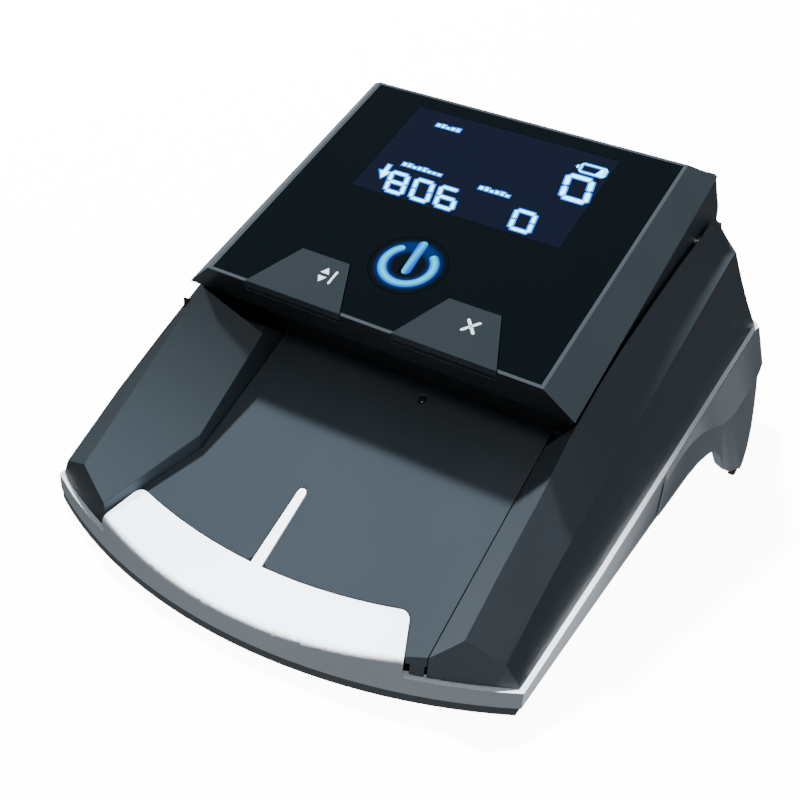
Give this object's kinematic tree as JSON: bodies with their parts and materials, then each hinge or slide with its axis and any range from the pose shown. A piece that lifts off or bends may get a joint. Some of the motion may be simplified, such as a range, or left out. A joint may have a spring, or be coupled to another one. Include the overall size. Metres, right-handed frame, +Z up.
{
  "type": "counterfeit bill detector",
  "caption": "Wedge-shaped counter-top bill tester with a sloping feed tray, guide wing, lit panel head on a rear hinge, flared legs and a roller drive.",
  "frame": {"origin": "middle of the bounding box, on the surface the unit stands on", "axes": "+Y from the feed tray towards the rear, +Z up, +X to the operator's right"},
  "size_m": [0.1518, 0.167, 0.0837],
  "materials": {
    "silver_plastic": "satin metallic paint on plastic",
    "charcoal_plastic": "fine satin texture",
    "underside_plastic": "matt",
    "inner_plastic": "matt",
    "panel_gloss": "gloss",
    "key_grey": "satin",
    "symbol_light": "translucent, lit",
    "clear_window": "gloss",
    "rubber_parts": "matt",
    "roller_plastic": "satin",
    "steel_parts": "brushed",
    "circuit_board": "satin",
    "battery_wrap": "shrink wrap"
  },
  "bodies": {
    "base": {"base_housing": "silver_plastic", "right_leg": "silver_plastic", "left_leg": "silver_plastic", "bottom_plate": "underside_plastic", "rubber_feet": "rubber_parts", "bottom_screws": "steel_parts", "right_cover": "charcoal_plastic", "left_cover": "charcoal_plastic", "rear_cover": "charcoal_plastic", "hinge_pins": "steel_parts", "feed_tray": "charcoal_plastic", "entry_lens": "clear_window", "lower_guide": "inner_plastic", "lower_sensor_bar": "inner_plastic", "lower_sensor_window": "clear_window", "magnetic_head": "steel_parts", "side_frame_left": "steel_parts", "side_frame_right": "steel_parts", "shaft_bushes": "inner_plastic", "motor_body": "steel_parts", "drive_belt": "rubber_parts", "encoder_sensor": "inner_plastic", "main_board": "circuit_board", "board_posts": "inner_plastic", "main_chips": "inner_plastic", "buzzer": "inner_plastic", "battery_pack": "battery_wrap", "dc_inlet": "inner_plastic", "dc_pin": "steel_parts", "update_port": "steel_parts"},
    "battery_cover": {"battery_cover": "underside_plastic"},
    "motor": {"motor_shaft": "steel_parts", "motor_pulley": "roller_plastic", "encoder_disc": "roller_plastic"},
    "front_drive": {"front_drive_shaft": "steel_parts", "front_drive_rollers": "rubber_parts", "front_drive_pulley": "roller_plastic"},
    "rear_drive": {"rear_drive_shaft": "steel_parts", "rear_drive_rollers": "rubber_parts", "rear_drive_pulley": "roller_plastic"},
    "head": {"head_housing": "charcoal_plastic", "display_panel": "panel_gloss", "display_window": "panel_gloss", "display_module": "inner_plastic", "head_board": "circuit_board", "key_switches": "circuit_board", "upper_guide": "inner_plastic", "upper_sensor_bar": "inner_plastic", "upper_sensor_window": "clear_window", "idler_brackets": "inner_plastic"},
    "front_idler": {"front_idler_shaft": "steel_parts", "front_idler_rollers": "roller_plastic"},
    "rear_idler": {"rear_idler_shaft": "steel_parts", "rear_idler_rollers": "roller_plastic"},
    "left_key": {"left_key": "key_grey"},
    "right_key": {"right_key": "key_grey"},
    "power_key": {"power_key": "panel_gloss", "power_symbol": "symbol_light"}
  },
  "joints": [
    {"name": "head_hinge", "type": "hinge", "parent": "base", "child": "head", "pos_m": [0, 0.052, 0.0615], "axis": [-1, 0, 0], "range_deg": [0, 38]},
    {"name": "left_key_push", "type": "slide", "parent": "head", "child": "left_key", "axis": [0, 0.3266, -0.9452], "range_m": [0, 0.0008], "stiffness_N_per_m": 400, "springref_m": -0.0006},
    {"name": "right_key_push", "type": "slide", "parent": "head", "child": "right_key", "axis": [0, 0.3266, -0.9452], "range_m": [0, 0.0008], "stiffness_N_per_m": 400, "springref_m": -0.0006},
    {"name": "power_key_push", "type": "slide", "parent": "head", "child": "power_key", "axis": [0, 0.3266, -0.9452], "range_m": [0, 0.0008], "stiffness_N_per_m": 400, "springref_m": -0.0006},
    {"name": "battery_cover_slide", "type": "slide", "parent": "base", "child": "battery_cover", "axis": [0, 1, 0], "range_m": [0, 0.05]},
    {"name": "front_drive_spin", "type": "hinge", "parent": "base", "child": "front_drive", "pos_m": [0, -0.00324, 0.04187], "axis": [1, 0, 0], "continuous": true},
    {"name": "rear_drive_spin", "type": "hinge", "parent": "base", "child": "rear_drive", "pos_m": [0, 0.0437, 0.04968], "axis": [1, 0, 0], "continuous": true},
    {"name": "motor_spin", "type": "hinge", "parent": "base", "child": "motor", "pos_m": [0, 0.02, 0.033], "axis": [1, 0, 0], "continuous": true},
    {"name": "front_idler_spin", "type": "hinge", "parent": "head", "child": "front_idler", "pos_m": [0, -0.0081, 0.05263], "axis": [1, 0, 0], "continuous": true},
    {"name": "rear_idler_spin", "type": "hinge", "parent": "head", "child": "rear_idler", "pos_m": [0, 0.04423, 0.06147], "axis": [1, 0, 0], "continuous": true}
  ],
  "couplings": [
    {"joint": "rear_drive_spin", "follows": "front_drive_spin", "ratio": 1},
    {"joint": "motor_spin", "follows": "front_drive_spin", "ratio": 1.375},
    {"joint": "front_idler_spin", "follows": "front_drive_spin", "ratio": -1.5556},
    {"joint": "rear_idler_spin", "follows": "front_drive_spin", "ratio": -1.5556}
  ]
}
